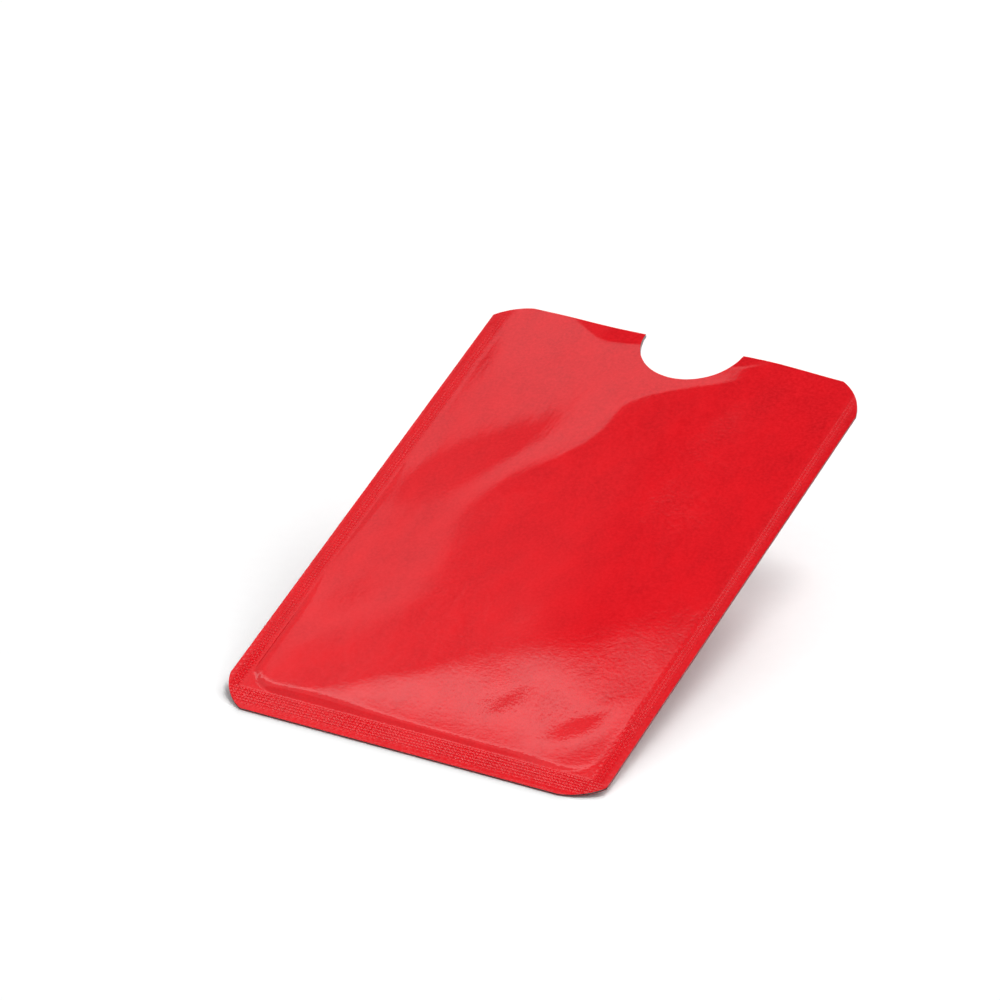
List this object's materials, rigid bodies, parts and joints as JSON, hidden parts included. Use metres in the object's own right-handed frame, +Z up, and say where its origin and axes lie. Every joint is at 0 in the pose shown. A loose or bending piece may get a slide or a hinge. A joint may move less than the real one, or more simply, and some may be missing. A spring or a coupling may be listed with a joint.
{
  "type": "rfid card holder",
  "caption": "Thin flexible card sleeve of two aluminium-lined laminate panels, knurl-welded on three sides, with an open mouth and a half-round thumb notch.",
  "frame": {"origin": "centre of the sleeve's flat back, on the surface that it lies on", "axes": "+X to the right across the sleeve, +Y from the sealed end to the open mouth, +Z up out of the front panel"},
  "size_m": [0.061, 0.09, 0.0012],
  "materials": {
    "printed_film": "gloss red outer film",
    "shield_foil": "bright foil",
    "sealing_film": "clear satin film over foil",
    "weld": "melted sealing film"
  },
  "bodies": {
    "root": {"front_film": "printed_film", "front_foil": "shield_foil", "front_liner": "sealing_film", "back_liner": "sealing_film", "back_foil": "shield_foil", "back_film": "printed_film", "left_seal": "weld", "right_seal": "weld", "bottom_seal": "weld"}
  },
  "joints": []
}
